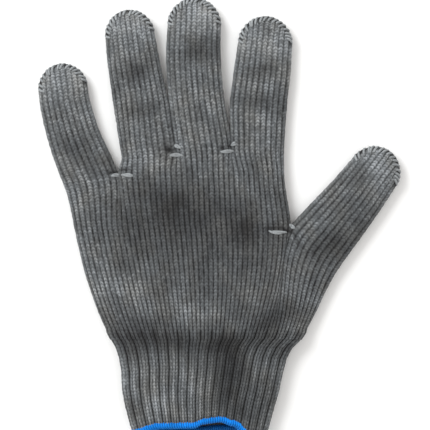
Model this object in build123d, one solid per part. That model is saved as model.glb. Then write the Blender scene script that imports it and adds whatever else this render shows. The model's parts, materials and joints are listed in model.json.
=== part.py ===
"""Knitted cut-resistant work glove, laid flat with its palm side up.

The glove is knitted in one go as a row of tubes: four finger stalls, a body for three of them, a body for
four, a body for all five, a drawn-in wrist band and a ribbed cuff. Each tube is a section of its own here.
Every finger bends at its knuckle lines and the cuff bends at the wrist line, so the sections on the two
sides of such a line are separate bodies with a small gap between them.

Millimetres. +Z is up, +Y runs from the cuff to the fingertips and +X points to the thumb. The origin lies
on the table, in the middle of the area that the glove covers. The plan below is laid out from the middle
of the wrist line, and moved there at the end.
"""

from build123d import *
import os
from math import cos, radians, sin
from typing import NamedTuple

# ---- knitted fabric -------------------------------------------------------------------------------
KNIT_WALL = 1.8  # thickness of one layer of the knit
SIDE_ROUND = 3.2  # rounding where the palm side folds over into the back
JOINT_GAP = 0.5  # gap at a knuckle or wrist line, between two bodies

# ---- heights above the table, as the glove lies ---------------------------------------------------
FINGER_HEIGHT = 10.0
PALM_HEIGHT = 12.0
CUFF_HEIGHT = 11.6

# ---- plan of the hand, from the middle of the wrist line ------------------------------------------
WRIST_WIDTH = 96.8
HEEL_LEFT = (-62.6, 29.5)  # the little-finger side of the palm bulges out through here
PALM_LEFT = -66.8  # little-finger side at the height of the thumb crotch
PALM_LEFT_MIDDLE = (-69.3, 67.0)
HEEL_RIGHT = (60.4, 18.5)  # the ball of the thumb bulges out through here
PALM_RIGHT_MIDDLE = (42.0, 70.0)  # index side of the palm, above the thumb
CROTCH_STEP = 1.0  # the body for three fingers starts this far above the little finger's knuckle line
THREE_BODY_LEFT = -43.6  # its side towards the little finger

# ---- cuff -----------------------------------------------------------------------------------------
BAND_LENGTH = 7.0  # the drawn-in wrist band
CUFF_TOP = (-45.2, 42.3)  # left and right side of the rib where it leaves the band
CUFF_END = (-38.2, 30.9)  # and where it reaches the hem
RIB_LENGTH = 36.0
HEM_LENGTH = 4.0
BINDING = 0.8  # thickness of the overlocked thread on each face of the hem
BINDING_OVERLAP = 2.6  # how far the binding reaches up the hem
ELASTIC_COUNT = 8
ELASTIC_THREAD = 0.7
ELASTIC_CLEARANCE = 0.05

# ---- crotches and fingertip seams -----------------------------------------------------------------
CROTCH_LENGTH = 6.0  # the overlapping stitches that tie front and back together in a crotch
CROTCH_WIDTH = 2.4
TIE_SETBACK = 0.4  # how far a tie stops short of the crotch
THUMB_TIE_LEAN = -16.0  # turn of the thumb's tie away from +Y
THUMB_SLACK = 0.4  # how far the thumb's stall stays inside its opening in the palm, each side
SEAM_RADIUS = 0.9  # the linked seam that closes a fingertip


class Finger(NamedTuple):
    """A finger stall. Leans are measured from +Y towards the little-finger side, in degrees."""

    name: str
    base: tuple  # middle of the base knuckle line
    skew: float  # turn of the knuckle lines away from +X
    sections: tuple  # (section name, length, lean), from the palm outwards
    widths: tuple  # at each section's start, and where the cap starts


FINGERS = (
    Finger(
        "little",
        (-59.0, 81.8),
        8.0,
        (("proximal", 21.9, 22.8), ("middle", 18.2, 15.6), ("distal", 9.4, 7.9)),
        (25.4, 26.2, 25.2, 24.8),
    ),
    Finger(
        "ring",
        (-29.2, 95.0),
        4.5,
        (("proximal", 26.6, 8.8), ("middle", 21.4, 8.6), ("distal", 14.4, 6.0)),
        (27.8, 27.5, 26.3, 24.7),
    ),
    Finger(
        "long",
        (-1.0, 97.1),
        3.0,
        (("proximal", 26.8, 8.6), ("middle", 21.7, 4.5), ("distal", 16.5, -1.4)),
        (27.5, 27.9, 27.8, 27.0),
    ),
    Finger(
        "index",
        (26.8, 97.1),
        -2.0,
        (("proximal", 21.9, 0.0), ("middle", 18.6, -6.0), ("distal", 14.6, -5.0)),
        (26.3, 28.6, 28.2, 26.4),
    ),
)
THUMB = Finger(
    "thumb",
    (57.8, 47.2),
    -37.0,
    (("proximal", 28.4, -37.0), ("distal", 19.8, -37.4)),
    (30.0, 28.4, 25.4),
)


class Line2(NamedTuple):
    """A line across a tube: its middle, the turn of the line away from +X, and its width."""

    middle: tuple
    turn: float
    width: float

    def across(self):
        return cos(radians(self.turn)), sin(radians(self.turn))

    def along(self):
        return -sin(radians(self.turn)), cos(radians(self.turn))

    def moved(self, distance):
        """The same line, further along the tube."""
        ax, ay = self.along()
        x, y = self.middle
        return self._replace(middle=(x + distance * ax, y + distance * ay))

    def widened(self, each_side):
        return self._replace(width=self.width + 2 * each_side)

    def left(self):
        tx, ty = self.across()
        x, y = self.middle
        return x - tx * self.width / 2, y - ty * self.width / 2

    def right(self):
        tx, ty = self.across()
        x, y = self.middle
        return x + tx * self.width / 2, y + ty * self.width / 2


def lines_of(finger):
    """The knuckle lines of a finger from its base outwards, then the line where its cap starts."""
    x, y = finger.base
    lines = [Line2((x, y), finger.skew, finger.widths[0])]
    for (_, length, lean), width in zip(finger.sections, finger.widths[1:], strict=True):
        x -= length * sin(radians(lean))
        y += length * cos(radians(lean))
        lines.append(Line2((x, y), finger.skew, width))
    lines[-1] = lines[-1]._replace(turn=finger.sections[-1][2])
    return lines


def solid_of(face, bottom, height):
    return Pos(0, 0, bottom) * extrude(face, amount=height)


def mouth(start, end, centre):
    """A plan rectangle just outside an open end, so that the hollow runs out through it."""
    run = Vector(end[0] - start[0], end[1] - start[1])
    out = Vector(run.Y, -run.X).normalized() * (2 * KNIT_WALL)
    middle = Vector(start[0] + end[0], start[1] + end[1]) / 2
    if out.dot(middle - centre) < 0:
        out = -out
    a, b = Vector(*start), Vector(*end)
    return make_face(Polyline(a, b, b + out, a + out, close=True))


def is_fold(edge, sides):
    """Whether an edge of a plain slab lies straight above or below one of the plan sides."""
    middle = edge @ 0.5
    level = abs((edge % 0.5).Z) < 0.01
    return level and any(side.distance_to(Vector(middle.X, middle.Y, 0)) < 0.01 for side in sides)


def knit_tube(outline, sides, ends, bottom, height):
    """A hollow knitted section, open at its ends.

    The outline is its plan. The sides are the parts of the plan where the front folds over into the back.
    """
    face = make_face(outline)
    outer = solid_of(face, bottom, height)
    outer = fillet([edge for edge in outer.edges() if is_fold(edge, sides)], SIDE_ROUND)
    opened = face
    for start, end in ends:
        opened += mouth(start, end, face.center())
    inside = offset(opened, amount=-KNIT_WALL, kind=Kind.INTERSECTION)
    return outer - solid_of(inside, bottom + KNIT_WALL, height - 2 * KNIT_WALL)


def stall_section(start, end, bottom, height):
    """A tube between two lines, open at both."""
    left, right = Line(start.left(), end.left()), Line(end.right(), start.right())
    outline = [left, Line(end.left(), end.right()), right, Line(start.right(), start.left())]
    ends = [(start.left(), start.right()), (end.left(), end.right())]
    return knit_tube(outline, [left, right], ends, bottom, height)


def cap_and_seam(line, bottom, height):
    """The round closed end of a stall, and the linked seam that runs round its edge."""
    radius = line.width / 2
    ax, ay = line.along()
    top = (line.middle[0] + radius * ax, line.middle[1] + radius * ay)
    dome = ThreePointArc(line.right(), top, line.left())
    outline = [dome, Line(line.left(), line.right())]
    cap = knit_tube(outline, [dome], [(line.left(), line.right())], bottom, height)
    middle = Vector(*line.middle, bottom + height / 2)
    start = Plane(origin=Vector(*line.right(), middle.Z), x_dir=(*line.across(), 0), z_dir=(ax, ay, 0))
    seam = revolve(start * Circle(SEAM_RADIUS), axis=Axis(middle, (0, 0, 1)), revolution_arc=180)
    return cap - seam, seam


def finger_parts(finger):
    """{node name: solid} for one finger. Sections that meet at a knuckle line stop short of it."""
    lines = lines_of(finger)
    parts = {}
    last = len(finger.sections) - 1
    for i, (section, _, _) in enumerate(finger.sections):
        start = lines[i].moved(JOINT_GAP / 2)
        end = lines[i + 1] if i == last else lines[i + 1].moved(-JOINT_GAP / 2)
        parts[f"{finger.name}_{section}_stall"] = stall_section(start, end, 0, FINGER_HEIGHT)
    cap, seam = cap_and_seam(lines[-1], 0, FINGER_HEIGHT)
    parts[f"{finger.name}_fingertip_cap"] = cap
    parts[f"{finger.name}_fingertip_seam"] = seam
    return parts


# ---- the bodies of the hand -----------------------------------------------------------------------
LITTLE, RING, LONG, INDEX = (lines_of(finger)[0] for finger in FINGERS)
THUMB_LINE = lines_of(THUMB)[0].widened(THUMB_SLACK)
THUMB_CROTCH = THUMB_LINE.left()
THREE_BODY_START = LITTLE.right()[1] + CROTCH_STEP


def five_finger_body():
    """The lower palm, which holds the wales of all five fingers, from the wrist line to the thumb crotch."""
    wrist_left, wrist_right = (-WRIST_WIDTH / 2, 0), (WRIST_WIDTH / 2, 0)
    top_left = (PALM_LEFT, THUMB_CROTCH[1])
    thumb_right = THUMB_LINE.right()
    heel = ThreePointArc(wrist_right, HEEL_RIGHT, thumb_right)
    side = ThreePointArc(top_left, HEEL_LEFT, wrist_left)
    outline = [
        Line(wrist_left, wrist_right),
        heel,
        Line(thumb_right, THUMB_CROTCH),
        Line(THUMB_CROTCH, top_left),
        side,
    ]
    ends = [(wrist_left, wrist_right), (THUMB_CROTCH, thumb_right), (top_left, THUMB_CROTCH)]
    return knit_tube(outline, [heel, side], ends, 0, PALM_HEIGHT)


def four_finger_body():
    """The upper palm, from the thumb crotch to the little finger's knuckle line."""
    bottom_left = (PALM_LEFT, THUMB_CROTCH[1])
    index_side = (INDEX.right()[0], THREE_BODY_START)
    three_left = (THREE_BODY_LEFT, THREE_BODY_START)
    right = ThreePointArc(THUMB_CROTCH, PALM_RIGHT_MIDDLE, index_side)
    left = ThreePointArc(LITTLE.left(), PALM_LEFT_MIDDLE, bottom_left)
    outline = [
        Line(bottom_left, THUMB_CROTCH),
        right,
        Line(index_side, three_left),
        Line(three_left, LITTLE.right()),
        Line(LITTLE.right(), LITTLE.left()),
        left,
    ]
    ends = [(bottom_left, THUMB_CROTCH), (three_left, index_side), (LITTLE.left(), LITTLE.right())]
    return knit_tube(outline, [left, right], ends, 0, PALM_HEIGHT)


def three_finger_body():
    """The short body that ring, long and index finger share, above the little finger's crotch."""
    bottom_left = (THREE_BODY_LEFT, THREE_BODY_START)
    bottom_right = (INDEX.right()[0], THREE_BODY_START)
    right = Line(bottom_right, INDEX.right())
    left = Line(RING.left(), bottom_left)
    outline = [
        Line(bottom_left, bottom_right),
        right,
        Line(INDEX.right(), INDEX.left()),
        Line(INDEX.left(), LONG.right()),
        Line(LONG.right(), LONG.left()),
        Line(LONG.left(), RING.right()),
        Line(RING.right(), RING.left()),
        left,
    ]
    ends = [(bottom_left, bottom_right)] + [(line.left(), line.right()) for line in (RING, LONG, INDEX)]
    return knit_tube(outline, [left, right], ends, 0, PALM_HEIGHT)


def crotch_ties():
    """{node name: solid} for the overlapping stitches in the four crotches, each an upright web."""
    webs = {
        "little_ring_crotch_tie": ((LITTLE.right()[0] + THREE_BODY_LEFT) / 2, LITTLE.right()[1], 0),
        "ring_long_crotch_tie": (*midway(RING.right(), LONG.left()), 0),
        "long_index_crotch_tie": (*midway(LONG.right(), INDEX.left()), 0),
        "thumb_crotch_tie": (*THUMB_CROTCH, THUMB_TIE_LEAN),
    }
    parts = {}
    for name, (x, y, lean) in webs.items():
        web = SlotOverall(CROTCH_LENGTH, CROTCH_WIDTH, rotation=90)
        place = Pos(x, y, 0) * Rot(0, 0, lean) * Pos(0, -CROTCH_LENGTH / 2 - TIE_SETBACK, 0)
        parts[name] = extrude(place * web, amount=PALM_HEIGHT)
    return parts


def midway(a, b):
    return (a[0] + b[0]) / 2, (a[1] + b[1]) / 2


def cuff_section(y, left, right, inset):
    """The upright rounded section of the cuff at a distance below the wrist line, shrunk all round."""
    height = CUFF_HEIGHT - 2 * inset
    plane = Plane(origin=((left + right) / 2, -y, CUFF_HEIGHT / 2), x_dir=(1, 0, 0), z_dir=(0, 1, 0))
    round_ = max(SIDE_ROUND - inset, SIDE_ROUND / 4)
    return plane * RectangleRounded(right - left - 2 * inset, height, round_)


def rib_sides(y):
    """Left and right side of the ribbed cuff at a distance below the wrist line."""
    part = (y - BAND_LENGTH) / (RIB_LENGTH + HEM_LENGTH)
    left = CUFF_TOP[0] + part * (CUFF_END[0] - CUFF_TOP[0])
    right = CUFF_TOP[1] + part * (CUFF_END[1] - CUFF_TOP[1])
    return left, right


def cuff_sleeve(y_start, y_end, inset):
    """A solid length of the cuff between two distances below the wrist line, shrunk all round."""
    ends = [cuff_section(y, *rib_sides(y), inset) for y in (y_start, y_end)]
    return loft(ends, ruled=True)


def cuff_parts():
    """{node name: solid} for the wrist band, the ribbed cuff, its elastic threads and its bound hem."""
    wrist_left, wrist_right = (-WRIST_WIDTH / 2, -JOINT_GAP), (WRIST_WIDTH / 2, -JOINT_GAP)
    top_left, top_right = (CUFF_TOP[0], -BAND_LENGTH), (CUFF_TOP[1], -BAND_LENGTH)
    left, right = Line(top_left, wrist_left), Line(wrist_right, top_right)
    outline = [left, Line(wrist_left, wrist_right), right, Line(top_right, top_left)]
    band = knit_tube(
        outline, [left, right], [(wrist_left, wrist_right), (top_left, top_right)], 0, CUFF_HEIGHT
    )

    rib_end = BAND_LENGTH + RIB_LENGTH
    hem_end = rib_end + HEM_LENGTH
    rib = cuff_sleeve(BAND_LENGTH, rib_end, 0) + cuff_sleeve(rib_end, hem_end, BINDING)
    rib -= cuff_sleeve(BAND_LENGTH, rib_end, KNIT_WALL)
    rib -= cuff_sleeve(rib_end, hem_end, BINDING + KNIT_WALL)

    binding = cuff_sleeve(hem_end - BINDING_OVERLAP, hem_end + BINDING, 0)
    binding -= cuff_sleeve(hem_end - BINDING_OVERLAP, hem_end, BINDING)
    binding += cuff_sleeve(hem_end - BINDING_OVERLAP, hem_end, BINDING + KNIT_WALL)
    binding -= cuff_sleeve(hem_end - BINDING_OVERLAP, hem_end + BINDING, 2 * BINDING + KNIT_WALL)

    pitch = RIB_LENGTH / ELASTIC_COUNT
    slack = ELASTIC_CLEARANCE
    threads = []
    for i in range(ELASTIC_COUNT):
        y = BAND_LENGTH + pitch * (i + 0.5)
        inset = (KNIT_WALL - ELASTIC_THREAD) / 2
        thread = cuff_sleeve(y, y + ELASTIC_THREAD, inset)
        thread -= cuff_sleeve(y, y + ELASTIC_THREAD, inset + ELASTIC_THREAD)
        channel = cuff_sleeve(y - slack, y + ELASTIC_THREAD + slack, inset - slack)
        channel -= cuff_sleeve(y - slack, y + ELASTIC_THREAD + slack, inset + ELASTIC_THREAD + slack)
        threads.append(thread)
        rib -= channel
    return {
        "wrist_band": band,
        "cuff_rib": rib,
        "cuff_hem_binding": binding,
        "cuff_elastic_threads": Compound(threads),
    }


def main():
    os.makedirs("parts", exist_ok=True)
    ties = crotch_ties()
    bodies = {
        "five_finger_palm": five_finger_body(),
        "four_finger_palm": four_finger_body(),
        "three_finger_palm": three_finger_body(),
    }
    for name in bodies:
        for tie in ties.values():
            bodies[name] -= tie
    parts = bodies | ties | cuff_parts()
    for finger in (*FINGERS, THUMB):
        parts |= finger_parts(finger)
    covered = Compound(list(parts.values())).bounding_box().center()
    for name, part in parts.items():
        export_step(Pos(-covered.X, -covered.Y, 0) * part, f"parts/{name}.step")


if __name__ == "__main__":
    main()
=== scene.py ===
"""A knitted cut-resistant glove that lies flat, palm side up, with finger stalls and cuff.

The glove is one knit. Its tubes run from the fingertips to the hem: finger stalls, a body for three
fingers, a body for four, a body for all five, and a ribbed cuff. Every tube here is a skin of real
stitches, two leaning legs to a stitch, in wales along the hand and courses across it, with a plain skin
inside it.
"""

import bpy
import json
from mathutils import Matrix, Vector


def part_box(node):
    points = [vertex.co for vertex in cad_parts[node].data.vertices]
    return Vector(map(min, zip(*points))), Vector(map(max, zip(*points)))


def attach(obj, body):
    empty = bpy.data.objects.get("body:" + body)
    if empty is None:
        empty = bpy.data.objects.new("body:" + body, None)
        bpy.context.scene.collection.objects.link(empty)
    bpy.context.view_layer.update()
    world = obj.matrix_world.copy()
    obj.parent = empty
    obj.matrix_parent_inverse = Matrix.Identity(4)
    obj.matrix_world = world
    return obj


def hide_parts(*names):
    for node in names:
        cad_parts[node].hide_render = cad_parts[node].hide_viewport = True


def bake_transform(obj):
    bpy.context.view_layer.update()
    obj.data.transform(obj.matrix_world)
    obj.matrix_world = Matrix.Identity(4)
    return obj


bl_info = {
    "name": "Knitted cut-resistant glove",
    "version": (1, 0, 0),
    "blender": (4, 5, 0),
    "location": "3D View > Sidebar > Glove",
    "description": "Knits a marled work glove with a ribbed cuff around a jointed frame",
    "category": "Add Mesh",
}

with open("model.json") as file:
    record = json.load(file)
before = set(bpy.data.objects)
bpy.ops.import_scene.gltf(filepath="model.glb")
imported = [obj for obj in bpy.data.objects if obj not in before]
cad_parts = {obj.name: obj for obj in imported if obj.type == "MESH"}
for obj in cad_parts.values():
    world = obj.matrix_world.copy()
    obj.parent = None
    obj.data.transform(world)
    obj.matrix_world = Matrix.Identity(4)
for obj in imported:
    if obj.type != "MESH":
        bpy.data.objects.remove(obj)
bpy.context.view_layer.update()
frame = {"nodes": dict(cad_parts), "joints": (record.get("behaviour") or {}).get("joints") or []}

import json
from math import cos, pi, radians, sin
from typing import NamedTuple

import bpy
import numpy as np
from bpy.props import (
    FloatProperty,
    FloatVectorProperty,
    IntProperty,
    PointerProperty,
)
from mathutils import Vector

JOINTS = {joint["name"]: joint for joint in frame["joints"]}
MM = 0.001

# Wales on each face of the glove, counted from the little-finger side.
WALES = {
    "little": (0, 10),
    "ring": (10, 21),
    "long": (21, 32),
    "index": (32, 43),
    "thumb": (43, 54),
}
HAND_WALES = (0, 54)
FOUR_FINGER_WALES = (0, 43)
THREE_FINGER_WALES = (10, 43)
ROUND_WALES = 108  # wales round the whole hand: the back's are counted on from the front's


# ---- sizes and colours ----------------------------------------------------------------------------
def length_setting(name, description, default):
    """A length in metres."""
    return FloatProperty(name=name, description=description, default=default, unit="LENGTH")


def place_setting(name, description, default):
    """A place in plan, in metres."""
    return FloatVectorProperty(name=name, description=description, default=default, size=2, unit="LENGTH")


def factor_setting(name, description, default):
    """A share without a unit."""
    return FloatProperty(name=name, description=description, default=default, subtype="FACTOR")


def colour_setting(name, description, default):
    """A linear colour."""
    return FloatVectorProperty(name=name, description=description, default=default, size=3, subtype="COLOR")


class KnitSettings(bpy.types.PropertyGroup):
    """The stitches."""

    course: length_setting("Course", "Height of one stitch along the hand", 1.75 * MM)
    relief: length_setting("Relief", "How far a stitch's legs stand out", 0.62 * MM)
    columns: IntProperty(name="Columns", description="Mesh columns in one wale", default=8, min=4)
    rows: IntProperty(name="Rows", description="Mesh rows in one course", default=5, min=3)
    unevenness: factor_setting("Unevenness", "How much one stitch differs from the next", 0.28)
    wander: factor_setting("Wander", "How far the wales stray from their line, in wales", 0.24)
    wall: length_setting("Wall", "Distance from the outside to the inside skin", 1.5 * MM)
    sag: length_setting("Sag", "Depth of the soft hollows in the cloth", 0.5 * MM)


class HandSettings(bpy.types.PropertyGroup):
    """The tubes of the hand, as they lie."""

    stall_half_height: length_setting("Stall half height", "Half the thickness of a finger stall", 4.3 * MM)
    palm_half_height: length_setting("Palm half height", "Half the thickness of the palm", 5.0 * MM)
    palm_left: place_setting(
        "Palm left",
        "Little-finger side at the height of the thumb crotch, from the wrist",
        (-67.3 * MM, 56.4 * MM),
    )
    thumb_fork: place_setting(
        "Thumb fork",
        "Thumb crotch, from the little-finger end of the thumb's base line",
        (-2.4 * MM, 1.3 * MM),
    )
    crowding: factor_setting("Crowding", "How much closer the wales stand under the index finger", 0.11)
    little_bulge: length_setting("Little bulge", "Sideways swell of the little finger's base", 1.8 * MM)
    fullness: FloatProperty(
        name="Fullness",
        description="How square a tube's section is, for each metre of half width",
        default=170.0,
    )
    fork_fade: FloatProperty(
        name="Fork fade",
        description="How soon the dips between the fingers fade into the palm",
        default=4.0,
    )


class CuffSettings(bpy.types.PropertyGroup):
    """The ribbed cuff and its hem."""

    half_height: length_setting("Half height", "Half the thickness of the cuff", 5.0 * MM)
    rib_wales: IntProperty(name="Rib wales", description="Wales in one rib", default=3)
    rib_relief: length_setting("Rib relief", "How far a rib stands out of the grooves", 1.15 * MM)
    rib_start: length_setting("Rib start", "How far above the wrist line the ribs begin", 5.0 * MM)
    crowding: factor_setting("Crowding", "How much closer the ribs stand on the thumb side", 0.12)
    # painted shade in the grooves between the ribs
    rib_painted_shade: factor_setting("Rib shade", "How much darker the grooves between the ribs are", 0.72)
    back_drop: length_setting("Back drop", "Distance of the back of the hem below the frame's", 0.6 * MM)


class HemSettings(bpy.types.PropertyGroup):
    """The overlocked thread round the hem."""

    thread: length_setting("Thread", "Radius of the overlock thread", 0.6 * MM)
    pitch: length_setting("Pitch", "Distance from one overlock stitch to the next", 1.15 * MM)
    reach: length_setting("Reach", "How far up the cloth the stitches reach", 2.9 * MM)
    depth: length_setting("Depth", "Half the thickness that the stitches wrap round", 1.9 * MM)


class TieSettings(bpy.types.PropertyGroup):
    """Thread at the fingertips and in the crotches."""

    thread: length_setting("Thread", "Radius of the seam thread", 0.62 * MM)
    pitch: length_setting("Pitch", "Distance between the loops that close a fingertip", 2.5 * MM)
    reach: length_setting("Reach", "How far a loop reaches in from the fingertip's edge", 2.6 * MM)
    edge: length_setting("Edge", "How far a loop stands out of the fingertip's edge", 0.2 * MM)
    strand: length_setting("Strand", "Radius of the yarn that ties a crotch", 0.64 * MM)


class ColourSettings(bpy.types.PropertyGroup):
    """Colours of the yarns."""

    dark: colour_setting("Dark yarn", "Dark strand of the marl", (0.012, 0.012, 0.013))
    middle: colour_setting("Marl", "The two strands seen together", (0.108, 0.116, 0.122))
    light: colour_setting("Light yarn", "Light strand of the marl", (0.33, 0.35, 0.37))
    seam: colour_setting("Seam yarn", "Yarn of the fingertip seams and crotch ties", (0.25, 0.265, 0.275))
    hem: colour_setting("Hem thread", "Overlock thread of the hem", (0.001, 0.205, 0.7))


class StageSettings(bpy.types.PropertyGroup):
    """Table, light and camera."""

    view_width: length_setting("View width", "Width of the table that the camera sees", 221.5 * MM)
    view_centre: place_setting("View centre", "Point straight below the camera", (-2.1 * MM, -0.7 * MM))
    camera_height: length_setting("Camera height", "Height of the camera over the glove", 1.2)
    table_size: length_setting("Table size", "Length of a side of the pale table", 6.0)
    room_light: factor_setting("Room light", "Strength of the soft light from all round", 0.95)
    lamp_power: FloatProperty(
        name="Lamp power", description="Power of the window light", default=15.0, unit="POWER"
    )


# ---- the frame ------------------------------------------------------------------------------------
def node_points(node):
    """Vertices of a CAD node, as an array."""
    mesh = frame["nodes"][node].data
    points = np.empty(len(mesh.vertices) * 3, np.float32)
    mesh.vertices.foreach_get("co", points)
    return points.reshape(-1, 3).astype(float)


class Line2(NamedTuple):
    """A straight line across a tube, from its little-finger side to its thumb side, in plan."""

    left: np.ndarray
    right: np.ndarray

    @property
    def middle(self):
        return (self.left + self.right) / 2

    @property
    def across(self):
        run = self.right - self.left
        return run / np.linalg.norm(run)

    @property
    def along(self):
        x, y = self.across
        return np.array((-y, x))

    @property
    def width(self):
        return float(np.linalg.norm(self.right - self.left))

    def eased(self, left, right):
        """The line with its ends this much further out."""
        return Line2(self.left - self.across * left, self.right + self.across * right)


NEAR = 0.7 * MM  # a stall's end counts as lying on its knuckle line within this distance


def knuckle_line(joint, node):
    """The line of a knuckle joint, as wide as the CAD stall that starts there."""
    place = np.array(JOINTS[joint]["pos_m"][:2])
    across = np.array(JOINTS[joint]["axis"][:2])
    off = node_points(node)[:, :2] - place
    near = np.abs(off @ np.array((-across[1], across[0]))) < NEAR
    side = off[near] @ across
    return Line2(place + across * side.min(), place + across * side.max())


def point_key(point):
    """A point to a hundredth of a millimetre, to find it again in another node."""
    return tuple(np.round(point, 5))


def cap_line(finger):
    """The line where a fingertip's round cap starts: the CAD cap and stall share its points."""
    stall = {point_key(point) for point in node_points(f"{finger}_distal_stall")}
    cap = node_points(f"{finger}_fingertip_cap")
    shared = np.array([point[:2] for point in cap if point_key(point) in stall])
    centre = shared.mean(0)
    _, _, axes = np.linalg.svd(shared - centre)
    across = axes[0] if axes[0][0] > 0 else -axes[0]
    side = (shared - centre) @ across
    return Line2(centre + across * side.min(), centre + across * side.max())


SECTION_JOINTS = {"proximal": "knuckle", "middle": "middle_joint", "distal": "tip_joint"}


def sections_of(finger):
    """Sections of a finger from its base, each with its joint. The thumb has no middle one."""
    return {
        section: f"{finger}_{joint}"
        for section, joint in SECTION_JOINTS.items()
        if f"{finger}_{joint}" in JOINTS
    }


def stall_lines(finger):
    """The lines of a finger from its base to its cap."""
    lines = [
        knuckle_line(joint, f"{finger}_{section}_stall") for section, joint in sections_of(finger).items()
    ]
    return [*lines, cap_line(finger)]


def base_lines(*fingers):
    """The line at the base of each of these fingers."""
    return [stall_lines(finger)[0] for finger in fingers]


# ---- the shape of a tube --------------------------------------------------------------------------
ROUNDEST = 2.2  # least power of a section's rounded rectangle; 2 is an ellipse
PROFILE_STEPS = 3001
LENGTH_STEPS = 200


def smooth_step(low, high, value):
    """0 below low, 1 above high, smooth between."""
    t = np.clip((value - low) / (high - low), 0, 1)
    return t * t * (3 - 2 * t)


def squareness(half_width):
    """Power of the rounded rectangle that a flattened tube's section is."""
    return max(ROUNDEST, bpy.context.scene.glove_hand.fullness * half_width)


def tube_profile(half_width, half_height, shares):
    """Places on the front half of a flattened tube's section, at shares of its length from fold to fold.

    Returns how far across, from -1 to 1, and how high, from 0 to 1.
    """
    across = np.cos(np.linspace(pi, 0, PROFILE_STEPS))
    height = np.sqrt(np.clip(1 - np.abs(across) ** squareness(half_width), 0, 1))
    steps = np.hypot(np.diff(across) * half_width, np.diff(height) * half_height)
    length = np.concatenate(([0], np.cumsum(steps)))
    wanted = np.asarray(shares) * length[-1]
    return np.interp(wanted, length, across), np.interp(wanted, length, height)


def section_length(half_width, half_height):
    """Length from fold to fold over the front of a flattened tube."""
    across, height = tube_profile(half_width, half_height, np.linspace(0, 1, LENGTH_STEPS))
    return np.hypot(np.diff(across) * half_width, np.diff(height) * half_height).sum()


class Lobe(NamedTuple):
    """One tube's end on an edge: its line, the wales it holds, and how they lean at its two folds."""

    line: Line2
    wales: tuple
    half_height: float
    leans: tuple  # degrees from +Y towards the little-finger side
    crowding: float = 0.0


class Edge(NamedTuple):
    """Columns of wales along an edge between tubes."""

    place: np.ndarray  # plan position of each column
    rise: np.ndarray  # height over the middle of the tube
    level: np.ndarray  # height of the tube's middle over the table
    heading: np.ndarray  # plan direction of each wale


LEAN_BLUR = 4.0  # wales over which neighbouring tubes share their lean
WALE_TOLERANCE = 1e-9
CLOTH_ON_TABLE = 0.75 * MM  # height of the stitches' bases over the table


def edge_of(lobes, wales):
    """The edge that a row of lobes makes, at these wales."""
    place = np.empty((len(wales), 2))
    rise = np.empty(len(wales))
    level = np.empty(len(wales))
    lean = np.empty(len(wales))
    for lobe in lobes:
        low, high = lobe.wales
        inside = (wales >= low - WALE_TOLERANCE) & (wales <= high + WALE_TOLERANCE)
        share = (wales[inside] - low) / (high - low)
        crowded = share + lobe.crowding * share * (1 - share)
        across, height = tube_profile(lobe.line.width / 2, lobe.half_height, crowded)
        reach = (lobe.line.right - lobe.line.left) / 2
        place[inside] = lobe.line.middle + across[:, None] * reach
        rise[inside] = height * lobe.half_height
        level[inside] = lobe.half_height + CLOTH_ON_TABLE
        lean[inside] = lobe.leans[0] + share * (lobe.leans[1] - lobe.leans[0])
    lean = np.radians(blurred(wales, lean, LEAN_BLUR))
    return Edge(place, rise, level, np.stack((-np.sin(lean), np.cos(lean)), 1))


def blurred(at, values, reach):
    """Values smoothed over a distance along at."""
    if len(at) < 3:
        return values
    weights = np.exp(-(((at[:, None] - at[None, :]) / (reach / 2)) ** 2))
    return (weights @ values) / weights.sum(1)


class Ring(NamedTuple):
    """The columns round a tube: front from the little-finger side to the thumb side, then the back."""

    wales: np.ndarray
    face: np.ndarray  # 1 on the front, -1 on the back
    knit: np.ndarray  # wale count round the whole hand
    front: int  # number of columns on the front, folds included


def ring_of(wales):
    """The columns round a tube of these wales."""
    count = (wales[1] - wales[0]) * bpy.context.scene.glove_knit.columns
    front = np.linspace(*wales, count + 1)
    back = front[-2:0:-1]
    return Ring(
        np.concatenate((front, back)),
        np.concatenate((np.ones(len(front)), -np.ones(len(back)))),
        np.concatenate((front, ROUND_WALES - back)),
        len(front),
    )


class Skin(NamedTuple):
    """A tube's surface before it is knitted: rows along the hand, columns round the tube."""

    outside: np.ndarray  # rows x columns x 3
    inside: np.ndarray
    wale: np.ndarray  # rows x columns
    course: np.ndarray
    ring: Ring
    closed_tip: bool


def placed(plan, height):
    """Points from their plan and their height."""
    return np.concatenate((plan, height[..., None]), -1)


INSIDE_WIDTH = 0.97  # how wide the inside skin of the hand is, as a share of the outside's


def body_skin(start, end, wales, first_course, end_fade):
    """A part of the hand between two edges. Its wales leave both in the direction of the wales there."""
    knit = bpy.context.scene.glove_knit
    ring = ring_of(wales)
    a = edge_of(start, ring.wales)
    b = edge_of(end, ring.wales)
    span = np.linalg.norm(b.place - a.place, axis=1)
    courses = round(float(np.median(span)) / knit.course)
    t = np.linspace(0, 1, courses * knit.rows + 1)[:, None]
    reach = span[None, :, None]
    u = t[..., None]
    plan = (
        (2 * u**3 - 3 * u**2 + 1) * a.place
        + (u**3 - 2 * u**2 + u) * reach * a.heading
        + (3 * u**2 - 2 * u**3) * b.place
        + (u**3 - u**2) * reach * b.heading
    )
    settle = t**end_fade
    rise = (1 - settle) * a.rise + settle * b.rise
    level = (1 - t) * a.level + t * b.level
    outside = placed(plan, level + ring.face * rise)
    highest = (1 - settle) * a.rise.max() + settle * b.rise.max()
    inner = 1 - knit.wall / np.maximum(highest, 2 * knit.wall)
    middle = plan[:, : ring.front].mean(1, keepdims=True)
    inside = placed(middle + (plan - middle) * INSIDE_WIDTH, level + ring.face * rise * inner)
    course = first_course + np.broadcast_to(t * courses, rise.shape)
    wale = np.broadcast_to(ring.knit, rise.shape)
    return Skin(outside, inside, wale, course, ring, False), first_course + courses


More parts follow.
